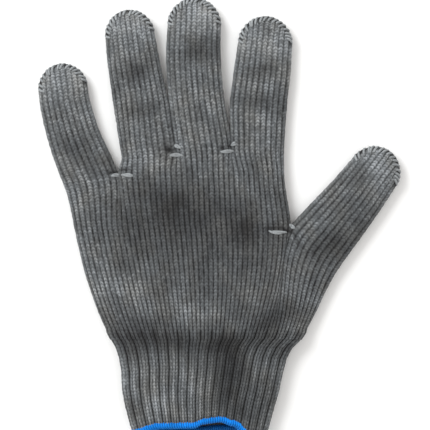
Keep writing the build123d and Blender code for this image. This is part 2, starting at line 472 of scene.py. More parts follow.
# ---- stitches -------------------------------------------------------------------------------------
RANDOM = np.random.default_rng(7)
MOST_COURSES = 400
LEG_TABLE = RANDOM.random((3, 4 * ROUND_WALES, MOST_COURSES))
WAVE_COUNT = 9
WAVE_LENGTHS = (19, 46)  # shortest and longest, in mm
WAVE_ANGLES = RANDOM.uniform(0, 180, WAVE_COUNT)
WAVES = list(
    zip(
        np.radians(WAVE_ANGLES),
        RANDOM.uniform(*WAVE_LENGTHS, WAVE_COUNT) * MM,
        RANDOM.uniform(0, 2 * pi, WAVE_COUNT),
        strict=True,
    )
)
WAVES_HIGHEST = 4.2  # what the waves' sum is divided by, to stay near 1


def leg_random(which, wale, course):
    """A fixed random number from 0 to 1 for each leg of each stitch."""
    column = np.floor(wale * 2).astype(int) % LEG_TABLE.shape[1]
    row = np.floor(course).astype(int) % LEG_TABLE.shape[2]
    return LEG_TABLE[which, column, row]


LEG_SPREAD = (0.27, 0.09)  # how far a leg stands from the middle of its wale, at its two ends
LEG_RADIUS = 0.21  # in wales
LEG_REACH = 0.86  # how far a leg reaches either way from its middle, in courses
LEG_SWAY = 0.3  # how far uneven legs stray sideways, in wales


def stitch_height(wale, course, unevenness):
    """Height of a plain knit face from 0 to 1. Each stitch's legs dip under the stitches next to it."""
    side = np.abs(wale - np.floor(wale) - 0.5)
    best = np.zeros(wale.shape)
    for beside in (-1, 0, 1):
        own = np.floor(course) + beside
        along = course - own - 0.5
        sway = (leg_random(0, wale, own) - 0.5) * unevenness * LEG_SWAY
        size = 1 + (leg_random(1, wale, own) - 0.5) * unevenness
        share = along / (2 * LEG_REACH) + 0.5
        middle = LEG_SPREAD[0] + share * (LEG_SPREAD[1] - LEG_SPREAD[0]) + sway
        thick = 1 - ((side - middle) / (LEG_RADIUS * size)) ** 2
        dip = 1 - (along / LEG_REACH) ** 2
        best = np.maximum(best, np.sqrt(np.clip(thick, 0, 1) * np.clip(dip, 0, 1)) * size)
    return best


RIB_CROWN = 1.2  # how narrow a rib's crown is: 1 is half an ellipse


def rib_height(wale, rib_wales):
    """Height of the ribs from 0 in a groove to 1."""
    place = (wale / rib_wales) % 1
    return np.sqrt(np.clip(1 - ((place - 0.5) / 0.5) ** 2, 0, 1)) ** RIB_CROWN


def cloth_waves(points):
    """Soft uneven rise and fall of the cloth, from -1 to 1."""
    total = 0
    for angle, length, phase in WAVES:
        way = points[..., 0] * cos(angle) + points[..., 1] * sin(angle)
        total = total + np.sin(2 * pi * way / length + phase)
    return total / WAVES_HIGHEST


LEAST_NORMAL = 1e-12  # square metres


def normals_of(points):
    """Normals of a grid that closes on itself along its columns."""
    along = np.gradient(points, axis=0)
    round_ = np.roll(points, -1, 1) - np.roll(points, 1, 1)
    normal = np.cross(round_, along)
    size = np.linalg.norm(normal, axis=2, keepdims=True)
    return normal / np.maximum(size, LEAST_NORMAL)


def spots(plan, places):
    """Sum of soft oval spots: x, y, half width, half length, turn, strength; mm from the wrist, degrees."""
    total = 0
    for x, y, wide, long, turn, strength in places:
        off = (plan - wrist_middle()) / MM - (x, y)
        c, s = cos(radians(turn)), sin(radians(turn))
        across = (off[..., 0] * c + off[..., 1] * s) / wide
        along = (off[..., 1] * c - off[..., 0] * s) / long
        total = total + strength * np.exp(-(across**2 + along**2))
    return total


# Soft spots where the cloth is lighter or darker. Partly painted light and shade: lighter on the cuff's
# ridge that faces the lamp, darker in its dip, on the thumb base's shaded side and in soft folds and
# hollows. Partly patches of uneven tone.
TONE_AND_PAINTED_SHADING_SPOTS = (
    (-2, 46, 50, 40, 0, -0.24),
    (-14, 62, 38, 15, 0, -0.34),
    (-17, 73, 16, 8, 0, -0.3),
    (20, 56, 9, 8, 0, -0.34),
    (-36, 138, 8, 5, 8, -0.5),
    (-31, 118, 9, 4, 8, -0.35),
    (-5.6, 148, 8, 6, 0, -0.5),
    (29, 122, 11, 5, 0, -0.42),
    (28, 138, 9, 4, 0, -0.22),
    (-65, 97, 10, 9, 0, -0.36),
    (-34, 5, 15, 8, 0, -0.38),
    (-29, -2, 17, 6, 0, -0.14),
    (12, -20, 10, 26, 4, -0.56),
    (35, 10, 13, 7, 30, -0.45),
    (-8, 15, 14, 5, 0, 0.25),
    (64, 45, 8, 14, -36, -0.3),
    (68, 49, 14, 9, -36, -0.14),
    (-46, 30, 16, 15, 0, 0.14),
    (-20, -28, 16, 13, 0, 0.36),
    (40, 35, 9, 9, 0, 0.14),
    (34, 42, 15, 26, 0, -0.2),
    (76, 66, 20, 26, -36, -0.15),
    (0, -2, 50, 6, 0, -0.33),
    (-40, 50, 14, 30, 0, -0.12),
)


# Painted shade of the knit: each stitch's crown is painted lighter, and the grooves between the wales and
# between one stitch and the next darker, as if in shade.
STITCH_LEAN = 1.1  # courses by which a stitch's legs climb from its middle to the groove
CROWN_TONE = 1.2
GROOVE_SHARES = (0.55, 0.9)  # least painted shade in a groove, and how much more a stitch may give it
GROOVE_EDGES = (0.2, 0.46)  # where the painted shade begins and is darkest, in wales from the middle of a wale
COURSE_SHARES = (0.2, 0.5)  # the same for the painted shade between one stitch and the next
COURSE_EDGES = (0.26, 0.5)
STITCH_SPREAD = 0.3  # how much one stitch's tone differs from the next
TONE_LIMITS = (0.08, 2)


def cloth_tone(skin, groove_painted_shade, rib):
    """How light each place of a skin is: painted shade in the grooves between the wales, between the
    stitches and between the ribs, painted light and shade in spots and in the crotches, and each stitch a
    little lighter or darker at random.
    """
    side = np.abs(skin.wale - np.floor(skin.wale) - 0.5)
    lean = skin.course + STITCH_LEAN * side
    own = leg_random(2, skin.wale, lean)
    least, more = GROOVE_SHARES
    depth = groove_painted_shade * (least + more * leg_random(1, skin.wale + 0.5, lean))
    tone = CROWN_TONE - depth * smooth_step(*GROOVE_EDGES, side)
    between = np.abs(lean - np.floor(lean) - 0.5)
    least, more = COURSE_SHARES
    tone *= 1 - (least + more * own) * smooth_step(*COURSE_EDGES, between)
    tone *= 1 + STITCH_SPREAD * (own - 0.5)
    # painted shade in the grooves between the ribs
    if rib is not None:
        tone *= 1 + rib
    front = (skin.ring.face > 0)[None, :]
    # painted light and shade, and patches of tone, in spots and in the crotches, on the front only
    for places in (TONE_AND_PAINTED_SHADING_SPOTS, painted_crotch_shading()):
        tone *= 1 + np.where(front, spots(skin.outside[..., :2], places), 0)
    return np.clip(tone, *TONE_LIMITS)


PRESSED = 0.45  # how much of a rib's height is left where the glove lies on it
TABLE_GAP = 0.02 * MM
SAG_FADE = 8 * MM  # height over which the soft hollows come in
WANDER_SHIFT = 0.3  # wales
WANDER_WAVES = ((0.31, 1.7), (0.117, 1.0))  # how far each wave turns for a course, and for a wale


def knitted(skin, extra=None):
    """The outside of a skin with its stitches, and with any extra height."""
    knit = bpy.context.scene.glove_knit
    points = skin.outside.copy()
    fold = np.clip((points[..., 2] - points[..., 2].min(0)) / SAG_FADE, 0, 1)
    front = skin.ring.face > 0
    points[..., 2] += np.where(front, cloth_waves(points) * knit.sag * fold, 0)
    normal = normals_of(points)
    wander = knit.wander
    for course_turn, wale_turn in WANDER_WAVES:
        wander = wander * np.sin(skin.course * course_turn + skin.wale * wale_turn)
    height = stitch_height(skin.wale + wander * WANDER_SHIFT, skin.course, knit.unevenness) * knit.relief
    if extra is not None:
        height = height + extra * np.where(front, 1, PRESSED)
    points = points + normal * height[..., None]
    points[..., 2] = np.maximum(points[..., 2], TABLE_GAP)
    return points


# ---- meshes ---------------------------------------------------------------------------------------
INSIDE_STEP = 12  # mesh rows of the outside for each row of the inside
# painted shade: the inside skin is painted darker, as it lies in the glove's shadow
INSIDE_PAINTED_SHADE = 0.55
PLAN_SCALE = 10  # plan coordinates are in tenths of a metre


def grid_faces(first, rows, columns, flip):
    """Quads of a grid of vertices that closes on itself along its columns."""
    i = np.arange(rows - 1)[:, None] * columns
    j = np.arange(columns)[None, :]
    k = (j + 1) % columns
    quads = np.stack((i + j, i + k, i + columns + k, i + columns + j), -1).reshape(-1, 4) + first
    return quads[:, ::-1] if flip else quads


def strip_faces(a, b):
    """Quads between two rings of vertices."""
    return np.stack((a, b, np.roll(b, -1), np.roll(a, -1)), -1)


def mesh_object(name, points, faces, knit_uv, material, tone=None):
    """A smooth mesh object with its knit and plan coordinates and its tone kept on it."""
    mesh = bpy.data.meshes.new(name)
    mesh.vertices.add(len(points))
    mesh.vertices.foreach_set("co", points.astype(np.float32).ravel())
    loops = np.concatenate([face.ravel() for face in faces]).astype(np.int32)
    sizes = np.concatenate([np.full(len(face), face.shape[1]) for face in faces])
    starts = np.concatenate(([0], np.cumsum(sizes)[:-1])).astype(np.int32)
    mesh.loops.add(len(loops))
    mesh.loops.foreach_set("vertex_index", loops)
    mesh.polygons.add(len(sizes))
    mesh.polygons.foreach_set("loop_start", starts)
    mesh.update(calc_edges=True)
    mesh.validate()
    mesh.shade_smooth()
    # a face where the wale count starts again counts on past its end
    corner = knit_uv[loops].astype(np.float32)
    widest = np.repeat(np.maximum.reduceat(corner[:, 0], starts), sizes)
    corner[widest - corner[:, 0] > ROUND_WALES / 2, 0] += ROUND_WALES
    mesh.uv_layers.new(name="Knit").data.foreach_set("uv", corner.ravel())
    plan = (points[loops][:, :2] * PLAN_SCALE).astype(np.float32)
    mesh.uv_layers.new(name="Plan").data.foreach_set("uv", plan.ravel())
    shade = mesh.attributes.new("Tone", "FLOAT", "POINT")
    shade.data.foreach_set("value", (np.ones(len(points)) if tone is None else tone).astype(np.float32))
    mesh.materials.append(material)
    made = bpy.data.objects.new(name, mesh)
    bpy.context.scene.collection.objects.link(made)
    return made


def tube_object(name, skin, outer, tone, rows, material):
    """A piece of a knitted tube between two rows: outside, inside, and the cut ends between them."""
    start, stop = rows
    columns = outer.shape[1]
    column = np.arange(columns)
    kept = list(range(start, stop, INSIDE_STEP)) + [stop]
    outside = outer[start : stop + 1]
    inside = skin.inside[kept]
    points = np.concatenate((outside.reshape(-1, 3), inside.reshape(-1, 3)))
    tone = np.concatenate((tone[start : stop + 1].ravel(), np.full(len(kept) * columns, INSIDE_PAINTED_SHADE)))
    uv = np.stack((skin.wale, skin.course), -1)
    knit_uv = np.concatenate((uv[start : stop + 1].reshape(-1, 2), uv[kept].reshape(-1, 2)))
    first_inside = outside.shape[0] * columns
    last_outside = column + (outside.shape[0] - 1) * columns
    last_inside = column + first_inside + (len(kept) - 1) * columns
    faces = [
        grid_faces(0, outside.shape[0], columns, False),
        grid_faces(first_inside, len(kept), columns, True),
    ]
    ends = [(column, column + first_inside)]
    if skin.closed_tip and stop == skin.outside.shape[0] - 1:
        tip = len(points)
        points = np.concatenate((points, outside[-1].mean(0)[None], inside[-1].mean(0)[None]))
        knit_uv = np.concatenate((knit_uv, knit_uv[last_outside[:1]], knit_uv[last_inside[:1]]))
        tone = np.concatenate((tone, tone[last_outside[:1]], tone[last_inside[:1]]))
        faces.append(np.stack((last_outside, np.roll(last_outside, -1), np.full(columns, tip)), -1))
        faces.append(np.stack((np.roll(last_inside, -1), last_inside, np.full(columns, tip + 1)), -1))
    else:
        ends.append((last_inside, last_outside))
    for end in ends:
        # a cut end has points of its own, so that the knit's shading runs on to the next piece
        own = np.concatenate(end)
        faces.append(strip_faces(*(np.arange(2 * columns) + len(points)).reshape(2, columns)))
        points = np.concatenate((points, points[own]))
        knit_uv = np.concatenate((knit_uv, knit_uv[own]))
        tone = np.concatenate((tone, tone[own]))
    return mesh_object(name, points, faces, knit_uv, material, tone)


NEARLY_UPRIGHT = 0.9  # cosine
LEAST_LENGTH = 1e-9
END_ROUNDING = (1.5, 0.35)  # path steps over which a thread's end narrows, and its least radius share
THREAD_APART = 3  # distance between the knit coordinates of two threads


def thread_mesh(paths, radius, sides=7):
    """Round threads along paths, with rounded ends. Returns vertices, faces and knit coordinates."""
    points, quads, uvs, count = [], [], [], 0
    turn = np.linspace(0, 2 * pi, sides, endpoint=False)
    for number, path in enumerate(paths):
        path = np.asarray(path, float)
        heading = np.gradient(path, axis=0)
        heading /= np.linalg.norm(heading, axis=1, keepdims=True)
        guide = np.array((0.0, 0.0, 1.0))
        if abs(heading[len(path) // 2] @ guide) > NEARLY_UPRIGHT:
            guide = np.array((1.0, 0.0, 0.0))
        side = np.cross(heading, guide)
        side /= np.maximum(np.linalg.norm(side, axis=1, keepdims=True), LEAST_LENGTH)
        for i in range(1, len(side)):
            side[i] -= (side[i] @ heading[i]) * heading[i]
            if side[i] @ side[i - 1] < 0:
                side[i] = -side[i]
            side[i] /= np.linalg.norm(side[i])
        up = np.cross(side, heading)
        shares = np.linspace(0, 1, len(path))
        steps, least = END_ROUNDING
        thin = radius * np.clip(np.minimum(shares, 1 - shares) * len(path) / steps, least, 1) ** 0.5
        ring = side[:, None] * np.cos(turn)[None, :, None] + up[:, None] * np.sin(turn)[None, :, None]
        body = path[:, None] + ring * thin[:, None, None]
        points.append(body.reshape(-1, 3))
        quads.append(grid_faces(count, len(path), sides, False))
        quads.append((np.arange(sides)[::-1] + count)[None])
        quads.append((np.arange(sides) + count + (len(path) - 1) * sides)[None])
        length = np.concatenate(([0], np.cumsum(np.linalg.norm(np.diff(path, axis=0), axis=1))))
        u = np.broadcast_to(np.arange(sides) / sides + number * THREAD_APART, (len(path), sides))
        v = np.broadcast_to(length[:, None] / MM, (len(path), sides))
        uvs.append(np.stack((u, v), -1).reshape(-1, 2))
        count += len(path) * sides
    return np.concatenate(points), quads, np.concatenate(uvs)


def thread_object(name, paths, radius, material, sides=7, tones=None):
    """Threads as one piece. tones has how light each path's points are."""
    points, faces, uv = thread_mesh(paths, radius, sides)
    tone = None if tones is None else np.repeat(np.concatenate(tones), sides)
    return mesh_object(name, points, faces, uv, material, tone)


# ---- materials ------------------------------------------------------------------------------------
class Nodes:
    """Short ways to add nodes to a material."""

    def __init__(self, name):
        self.material = bpy.data.materials.new(name)
        self.material.use_nodes = True
        self.tree = self.material.node_tree
        self.shader = self.tree.nodes["Principled BSDF"]

    def add(self, kind, *inputs, **settings):
        node = self.tree.nodes.new(kind)
        for key, value in settings.items():
            setattr(node, key, value)
        for socket, value in zip(node.inputs, inputs):
            self.feed(socket, value)
        return node

    def feed(self, socket, value):
        if isinstance(value, bpy.types.NodeSocket):
            self.tree.links.new(value, socket)
        elif value is not None:
            socket.default_value = value

    def math(self, operation, a, b=None, clamp=False):
        return self.add("ShaderNodeMath", a, b, operation=operation, use_clamp=clamp).outputs[0]

    def noise(self, vector, scale, detail=2.0):
        node = self.add("ShaderNodeTexNoise")
        self.feed(node.inputs["Vector"], vector)
        node.inputs["Scale"].default_value = scale
        node.inputs["Detail"].default_value = detail
        return node.outputs["Fac"]

    def scaled(self, vector, by):
        return self.add("ShaderNodeVectorMath", vector, by, operation="MULTIPLY").outputs[0]

    def uv(self, name):
        return self.add("ShaderNodeUVMap", uv_map=name).outputs[0]


# The marl's shade: coordinates, their stretch, the noise's scale and detail, and its weight.
MARL = (
    ("Knit", (2.2, 0.9, 1.0), 1.0, 1.0, 0.75),  # specks
    ("Knit", (1.3, 0.11, 1.0), 1.0, 1.0, 0.7),  # streaks along the wales
    ("Knit", (7.0, 2.6, 1.0), 1.0, 2.0, 0.5),  # strands in a leg
    ("Plan", (1.0, 1.0, 1.0), 6.5, 3.0, 1.25),  # slow drift
)
MARL_STOPS = (0.1, 0.5, 0.95)  # shades of the dark, the middle and the light yarn
WARMTH = (0.42, 4.0)  # noise above which the yarn is warmer, and how fast
WARM_TINT = (1.03, 0.985, 0.93, 1)
BUMP_DEPTH = 0.2 * MM


def bumped(n, height):
    """Gives a material fine relief."""
    bump = n.add("ShaderNodeBump")
    bump.inputs["Strength"].default_value = 0.5
    bump.inputs["Distance"].default_value = BUMP_DEPTH
    n.feed(bump.inputs["Height"], height)
    n.feed(n.shader.inputs["Normal"], bump.outputs[0])


def marl_material(name):
    """Two-strand marled knit: strands of light and dark along each leg, and slow drifts of shade."""
    colours = bpy.context.scene.glove_colours
    n = Nodes(name)
    maps = {"Knit": n.uv("Knit"), "Plan": n.uv("Plan")}
    tone = n.add("ShaderNodeAttribute", attribute_name="Tone").outputs["Fac"]
    shade = None
    for coordinates, stretch, scale, detail, weight in MARL:
        noise = n.noise(n.scaled(maps[coordinates], stretch), scale, detail)
        part = n.math("MULTIPLY", n.math("SUBTRACT", noise, 0.5), weight)
        shade = part if shade is None else n.math("ADD", shade, part)
    shade = n.math("MULTIPLY", n.math("ADD", shade, 1.0), tone)
    ramp = n.add("ShaderNodeValToRGB", n.math("MULTIPLY", shade, 0.5))
    stops = ramp.color_ramp.elements
    dark, middle, light = MARL_STOPS
    stops[0].position = dark
    stops[0].color = (*colours.dark, 1)
    stops[1].position = light
    stops[1].color = (*colours.light, 1)
    stops.new(middle).color = (*colours.middle, 1)
    least, speed = WARMTH
    warmth = n.noise(n.scaled(maps["Plan"], (1.0, 0.7, 1.0)), 9.0, 2.0)
    warm = n.add("ShaderNodeMix", data_type="RGBA", blend_type="MULTIPLY")
    n.feed(warm.inputs["Factor"], n.math("MULTIPLY", n.math("SUBTRACT", warmth, least), speed, clamp=True))
    n.feed(warm.inputs["A"], ramp.outputs[0])
    warm.inputs["B"].default_value = WARM_TINT
    n.feed(n.shader.inputs["Base Color"], warm.outputs["Result"])
    n.shader.inputs["Roughness"].default_value = 0.92
    n.shader.inputs["Sheen Weight"].default_value = 0.1
    n.shader.inputs["Sheen Roughness"].default_value = 0.6
    n.shader.inputs["Specular IOR Level"].default_value = 0.2
    bumped(n, n.noise(n.scaled(maps["Knit"], (9.0, 5.0, 1.0)), 1.0, 4.0))  # fibres
    return n.material


def thread_material(name, colour, spread, sheen):
    """Plied thread: strands that twist along it, each a little lighter or darker."""
    n = Nodes(name)
    twist = n.noise(n.scaled(n.uv("Knit"), (3.0, 1.4, 1.0)), 1.0, 2.0)
    drift = n.noise(n.uv("Plan"), 14.0, 2.0)
    shade = n.math("MULTIPLY", n.math("ADD", twist, drift), spread)
    shade = n.math("ADD", shade, 1 - spread)
    shade = n.math("MULTIPLY", shade, n.add("ShaderNodeAttribute", attribute_name="Tone").outputs["Fac"])
    mixed = n.add("ShaderNodeVectorMath", (*colour,), operation="SCALE")
    n.feed(mixed.inputs["Scale"], shade)
    n.feed(n.shader.inputs["Base Color"], mixed.outputs[0])
    n.shader.inputs["Roughness"].default_value = 0.8
    n.shader.inputs["Sheen Weight"].default_value = sheen
    n.shader.inputs["Specular IOR Level"].default_value = 0.25
    bumped(n, twist)
    return n.material


def material(name):
    """A finish by name, made once."""
    found = bpy.data.materials.get(name)
    if found:
        return found
    colours = bpy.context.scene.glove_colours
    if name == "SeamYarn":
        return thread_material(name, colours.seam, 0.8, 0.1)
    if name == "HemThread":
        return thread_material(name, colours.hem, 0.9, 0.0)
    return marl_material(name)


# ---- edges of the hand ----------------------------------------------------------------------------
RING_CROWDING = -0.28  # how the wales at the ring finger's base lie over to the little-finger side


def wrist_middle():
    """The middle of the wrist line, in plan."""
    return np.array(JOINTS["wrist"]["pos_m"][:2])


def forks():
    """Plan points of the crotches: little and ring, ring and long, long and index, thumb."""
    little, ring, long, index, thumb = base_lines("little", "ring", "long", "index", "thumb")
    low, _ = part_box("three_finger_palm")
    return [
        (little.right + np.array(low[:2])) / 2,
        (ring.right + long.left) / 2,
        (long.right + index.left) / 2,
        thumb.left + np.array(bpy.context.scene.glove_hand.thumb_fork),
    ]


# Painted shade in the hollows under the crotches and in dark lines where two fingers touch, and painted
# light on the pucker by the thumb crotch: (crotch, then as in a spot, from the crotch).
PAINTED_CROTCH_SHADING = (
    (0, -3.6, 1.2, 2.8, 0.9, 8, -0.7),
    (0, 3.0, 2.6, 3.6, 1.1, 0, -0.6),
    (1, -4.0, 0.6, 1.9, 1.6, -25, -0.85),
    (2, -1.2, 1.4, 1.5, 1.2, 0, -0.8),
    (2, -5.2, 0.4, 1.2, 1.3, 0, -0.7),
    (1, -2.4, 12.0, 0.9, 10.0, 7, -0.75),
    (2, -0.6, 11.0, 0.8, 9.0, 4, -0.5),
    (3, -10.0, -0.9, 3.6, 1.0, 0, -0.6),
    (3, -2.5, -1.9, 3.4, 0.9, -22, -0.8),
    (3, 3.2, -6.4, 1.0, 4.4, 25, -0.6),
    (3, 0.5, -5.2, 5.0, 1.0, -30, 0.4),
)


def painted_crotch_shading():
    """The painted shading of the crotches as spots, from the wrist."""
    fork = forks()
    places = []
    for number, x, y, *rest in PAINTED_CROTCH_SHADING:
        at = (fork[number] - wrist_middle()) / MM
        places.append((at[0] + x, at[1] + y, *rest))
    return places


def hand_edges():
    """Every edge between tubes, as lists of lobes."""
    hand = bpy.context.scene.glove_hand
    cuff = bpy.context.scene.glove_cuff
    fork = forks()
    little, ring, index, thumb = base_lines("little", "ring", "index", "thumb")
    stall, palm = hand.stall_half_height, hand.palm_half_height
    low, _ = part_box("three_finger_palm")
    index_side = np.array((index.right[0], low[1]))
    band_low, band_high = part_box("wrist_band")
    half = np.array(((band_high - band_low)[0] / 2, 0))
    wrist = wrist_middle()
    palm_left = wrist + np.array(hand.palm_left)
    three_fingers = Lobe(Line2(fork[0], index_side), THREE_FINGER_WALES, palm, (6, 2), hand.crowding)
    four_fingers = Lobe(Line2(palm_left, fork[3]), FOUR_FINGER_WALES, palm, (11.5, 2))
    little_left = little.left - little.across * hand.little_bulge
    stalls = {
        "little": Lobe(Line2(little_left, fork[0]), WALES["little"], stall, (22, 17)),
        "ring": Lobe(Line2(ring.left, fork[1]), WALES["ring"], stall, (8, 8), RING_CROWDING),
        "long": Lobe(Line2(fork[1], fork[2]), WALES["long"], stall, (7, 5)),
        "index": Lobe(Line2(fork[2], index.right), WALES["index"], stall, (2, -2)),
        "thumb": Lobe(Line2(fork[3], thumb.right), WALES["thumb"], stall, (-34, -37)),
    }
    return {
        "wrist": [Lobe(Line2(wrist - half, wrist + half), HAND_WALES, palm, (31, -37), cuff.crowding)],
        "thumb height": [four_fingers, stalls["thumb"]],
        "thumb height, four": [four_fingers],
        "little height": [stalls["little"], three_fingers],
        "little height, three": [three_fingers],
        "fingers": [stalls["ring"], stalls["long"], stalls["index"]],
        **stalls,
    }


# ---- finger stalls --------------------------------------------------------------------------------
def smooth_path(points, samples):
    """A smooth path through points in plan: samples for each span, ends straight on."""
    points = np.asarray(points, float)
    ends = np.concatenate(([2 * points[0] - points[1]], points, [2 * points[-1] - points[-2]]))
    path = []
    t = np.linspace(0, 1, samples, endpoint=False)[:, None]
    for a, b, c, d in zip(ends, ends[1:], ends[2:], ends[3:]):
        bend = (2 * a - 5 * b + 4 * c - d) * t**2 + (3 * b - a - 3 * c + d) * t**3
        path.append(0.5 * (2 * b + (c - a) * t + bend))
    return np.concatenate((*path, points[-1:]))


class Stall(NamedTuple):
    """A finger stall before it is divided, and its round tip."""

    skin: Skin
    cuts: list  # rows where the next piece starts
    cap: Line2
    heading: np.ndarray
    radius: float
    level: float


# How much further out the cloth lies than the frame's stalls at the fingertip: left side, right side.
STALL_EASE = {
    "little": (0.0 * MM, -0.2 * MM),
    "ring": (1.2 * MM, -1.4 * MM),
    "long": (-0.5 * MM, 0.1 * MM),
    "index": (-0.2 * MM, 0.9 * MM),
    "thumb": (0.2 * MM, 0.3 * MM),
}
SQUARING = 12 * MM  # length over which a stall's courses turn square to it
EVENING = 34 * MM  # length over which a stall's wales spread evenly
TIP_FLATTENING = 0.45
TIP_INSET = 0.5 * MM
CUT_AT = 0.56  # where a stall divides between two joints, as a share of the way
TIP_STOP = radians(84)  # how far round the tip's arc the courses go before the last stitch
PATH_STEPS = 120  # steps of a stall's middle line between two of its lines
LEAST_HALF_WIDTH = 0.6 * MM
LEAST_INSIDE = 0.3  # least size of the inside skin, as a share of the outside's


def stall_skin(finger, lobe, first_course):
    """The skin of a finger stall with its round tip, and the rows at which it divides."""
    knit = bpy.context.scene.glove_knit
    lines = stall_lines(finger)
    lines[0] = lobe.line
    for i in range(1, len(lines)):
        share = i / (len(lines) - 1)
        lines[i] = lines[i].eased(*(ease * share for ease in STALL_EASE[finger]))
    cap = lines[-1]
    radius = cap.width / 2
    ring = ring_of(lobe.wales)
    centres = smooth_path([line.middle for line in lines], PATH_STEPS)
    steps = np.linalg.norm(np.diff(centres, axis=0), axis=1)
    length = np.concatenate(([0], np.cumsum(steps)))
    marks = length[::PATH_STEPS]
    row_gap = knit.course / knit.rows
    straight = np.linspace(0, length[-1], round(length[-1] / row_gap) + 1)
    turn_count = round(radius * TIP_STOP / row_gap)
    turn = np.linspace(0, TIP_STOP, turn_count + 1)[1:]
    distance = np.concatenate((straight, length[-1] + radius * np.sin(turn)))
    heading = np.gradient(centres, axis=0)
    heading /= np.linalg.norm(heading, axis=1, keepdims=True)
    half_width = np.interp(distance, marks, [line.width / 2 for line in lines])
    half_width[len(straight) :] = radius * np.cos(turn)
    beyond = np.clip(distance - length[-1], 0, None)
    half_width -= TIP_INSET * np.clip(beyond / radius, 0, 1) ** 0.5
    half_width = np.maximum(half_width, LEAST_HALF_WIDTH)
    tip_share = np.concatenate((np.ones(len(straight)), np.cos(turn)))
    middle = np.stack([np.interp(distance, length, centres[:, i]) for i in (0, 1)], 1)
    middle += beyond[:, None] * heading[-1]
    ways = np.stack([np.interp(distance, length, heading[:, i]) for i in (0, 1)], 1)
    square = np.stack((ways[:, 1], -ways[:, 0]), 1)
    turned = smooth_step(0, SQUARING, distance)[:, None]
    across = (1 - turned) * lobe.line.across + turned * square
    across /= np.linalg.norm(across, axis=1, keepdims=True)
    half_height = lobe.half_height * tip_share**TIP_FLATTENING
    full = section_length(half_width[len(straight) - 1], lobe.half_height)
    share = (ring.wales - lobe.wales[0]) / (lobe.wales[1] - lobe.wales[0])
    rows, columns = len(distance), len(ring.wales)
    outside, inside = np.empty((2, rows, columns, 3))
    wale = np.empty((rows, columns))
    level = lobe.half_height + CLOTH_ON_TABLE
    centre = sum(lobe.wales) / 2
    crowding = lobe.crowding * (1 - smooth_step(0, EVENING, distance))
    for i in range(rows):
        a, b = half_width[i], half_height[i]
        xi, rise = tube_profile(a, b, share + crowding[i] * share * (1 - share))
        plan = middle[i] + (xi * a)[:, None] * across[i]
        outside[i] = placed(plan, level + ring.face * rise * b)
        a_in, b_in = (max(size - knit.wall, LEAST_INSIDE * size) for size in (a, b))
        inner_plan = middle[i] + (xi * a_in)[:, None] * across[i]
        inside[i] = placed(inner_plan, level + ring.face * rise * b_in)
        narrowing = min(1.0, section_length(a, b) / full) if i >= len(straight) else 1.0
        front_wale = centre + (ring.wales - centre) * narrowing
        wale[i] = np.where(ring.face > 0, front_wale, ROUND_WALES - front_wale)
    beyond_rows = np.concatenate((straight, length[-1] + radius * turn))
    course = first_course + np.broadcast_to(beyond_rows[:, None] / knit.course, wale.shape)
    skin = Skin(outside, inside, wale, course, ring, True)
    places = [marks[i] + CUT_AT * (marks[i + 1] - marks[i]) for i in range(len(marks) - 2)]
    cuts = [int(np.argmin(np.abs(distance - place))) for place in places]
    return Stall(skin, cuts, cap, heading[-1], radius, level)


# Courses below each stall.
FINGER_COURSES = {"little": 49, "ring": 56, "long": 56, "index": 56, "thumb": 33}


GROOVE_PAINTED_SHADE = 0.66  # painted shade: how much darker the cloth is in the groove between two wales
STALL_GROOVE_PAINTED_SHADE = 0.6  # the same on a stall
TIP_SOFTNESS = 0.4  # how much of it is lost towards a fingertip, where the knit is drawn tight
TIP_LIGHTNESS = 0.24
TIP_FADE = 9 * MM  # how far below the cap's line the tip begins to lighten
TIP_FULL = 4 * MM  # how far past the cap's line the tip is at its lightest
RIM = (2.3 * MM, 0.6 * MM)  # how far in from the tip's edge the painted shade under the seam begins, and is darkest
RIM_PAINTED_SHADE = 0.75


def stall_shade(stall):
    """Tone of a stall: lighter towards its tip, and painted shade in the rim under the seam."""
    off = stall.skin.outside[..., :2] - stall.cap.middle
    ahead = off @ stall.heading
    reach = np.linalg.norm(off, axis=-1)
    lighter = 1 + TIP_LIGHTNESS * smooth_step(-TIP_FADE, TIP_FULL, ahead)
    begin, darkest = (stall.radius - inwards for inwards in RIM)
    rim = RIM_PAINTED_SHADE * smooth_step(begin, darkest, reach) * smooth_step(-MM, MM, ahead)
    return lighter * (1 - rim)


def make_stall(finger):
    """Knits one stall in pieces divided between its joints, and sews its tip shut."""
    lobe = hand_edges()[finger]
    stall = stall_skin(finger, lobe, FINGER_COURSES[finger])
    outer = knitted(stall.skin)
    ahead = (stall.skin.outside[..., :2] - stall.cap.middle) @ stall.heading
    # painted shade in the grooves, less of it towards the fingertip
    groove = STALL_GROOVE_PAINTED_SHADE * (1 - TIP_SOFTNESS * smooth_step(-2 * TIP_FADE, 0, ahead))
    tone = cloth_tone(stall.skin, groove, None) * stall_shade(stall)
    ends = [0, *stall.cuts, outer.shape[0] - 1]
    for i, (section, joint) in enumerate(sections_of(finger).items()):
        name = f"{finger.capitalize()}Stall_{section}"
        piece = tube_object(name, stall.skin, outer, tone, (ends[i], ends[i + 1]), material("MarlKnit"))
        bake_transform(piece)
        nodes = [f"{finger}_{section}_stall"]
        if section == "distal":
            nodes.append(f"{finger}_fingertip_cap")
        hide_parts(*nodes)
    make_tip_seam(finger, stall)


LEAST_AREA = 1e-9  # square metres, under the square root of a half width


def tip_height(stall, x, y):
    """Height of a fingertip's skin over its middle, at places across and ahead of the cap line."""
    width = np.sqrt(np.clip(stall.radius**2 - np.clip(y, 0, None) ** 2, LEAST_AREA, None))
    full = np.sqrt(np.clip(1 - np.clip(np.abs(x) / width, 0, 1) ** squareness(stall.radius), 0, 1))
    half_height = bpy.context.scene.glove_hand.stall_half_height
    return half_height * (width / stall.radius) ** TIP_FLATTENING * full


